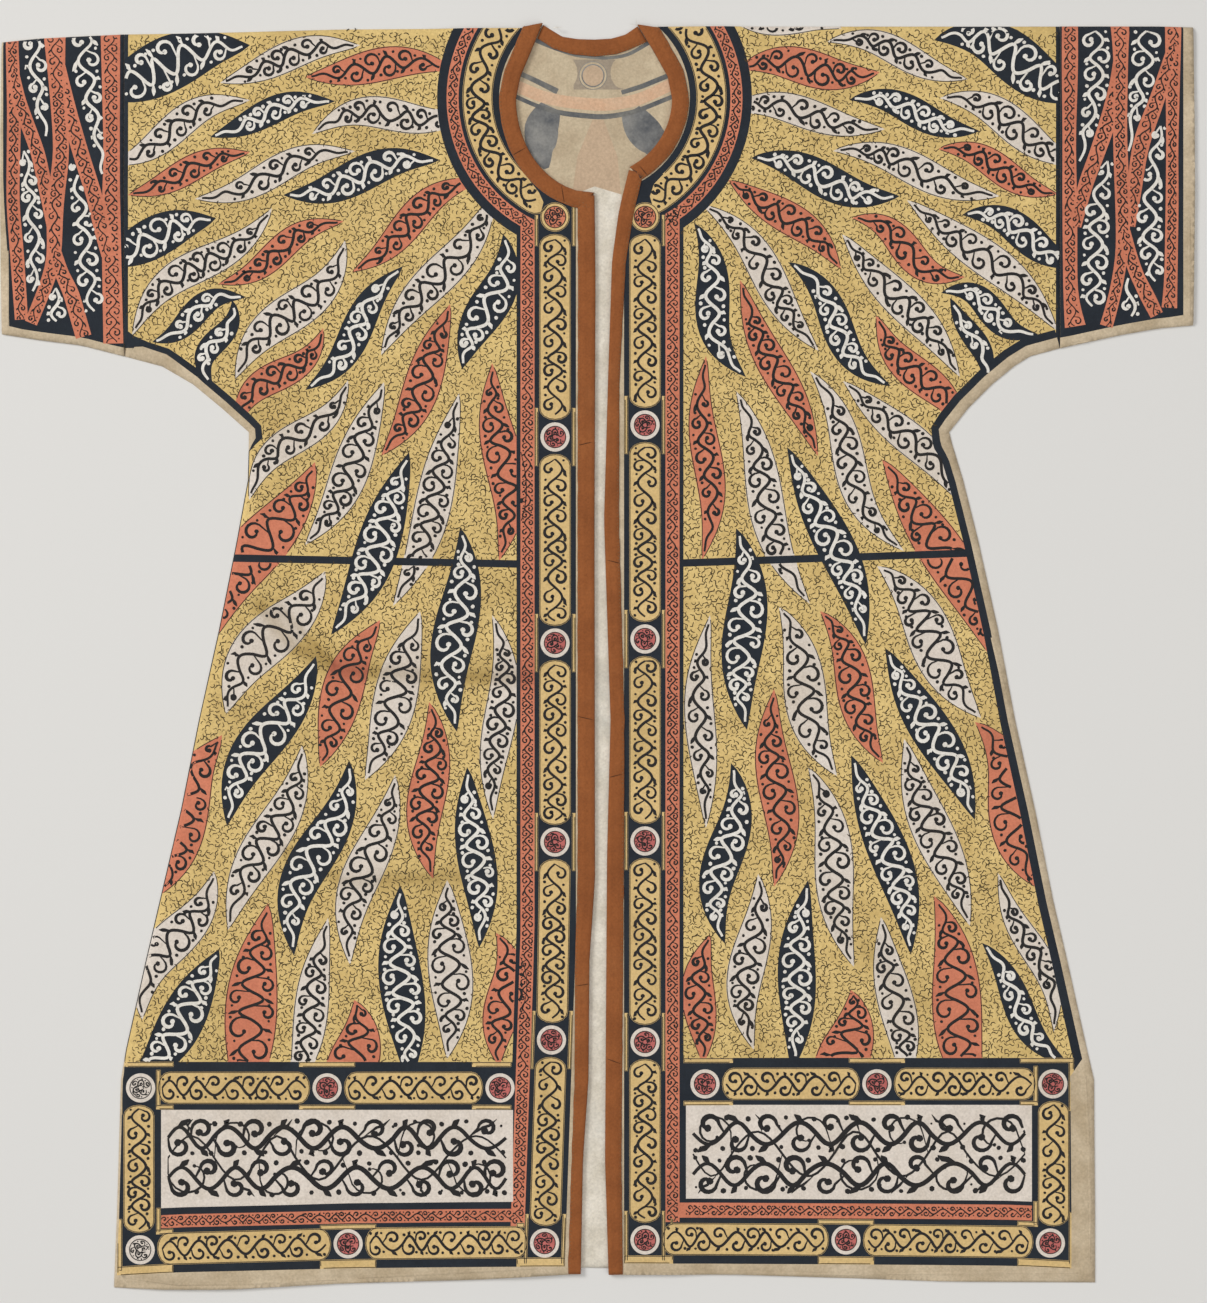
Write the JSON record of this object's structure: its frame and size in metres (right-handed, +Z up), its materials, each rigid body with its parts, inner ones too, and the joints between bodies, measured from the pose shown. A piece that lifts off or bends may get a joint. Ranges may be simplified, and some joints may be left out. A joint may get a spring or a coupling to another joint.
{
  "type": "talismanic shirt, laid flat",
  "caption": "Open-fronted cotton shirt with short wide sleeves and a flared skirt, painted all over and laid flat on its back.",
  "frame": {"origin": "middle of the bounding box in x and y, on the surface that the shirt lies on", "axes": "+X to the right of the shirt as seen from above, +Y from the hem to the shoulders, +Z up out of the front"},
  "size_m": [1.195, 1.268, 0.0064],
  "materials": {
    "painted_cotton": "matt paint on starched cotton",
    "painted_sleeve": "matt paint on starched cotton",
    "bare_cotton": "plain starched cotton",
    "rust_tape": "plain woven tape"
  },
  "bodies": {
    "root": {"back": "bare_cotton", "front_left": "painted_cotton", "front_right": "painted_cotton", "sleeve_end_left": "painted_sleeve", "sleeve_end_right": "painted_sleeve", "neck_tape_left": "rust_tape", "neck_tape_right": "rust_tape", "neck_tape_back": "rust_tape", "front_tape_left": "rust_tape", "front_tape_right": "rust_tape"}
  },
  "joints": []
}
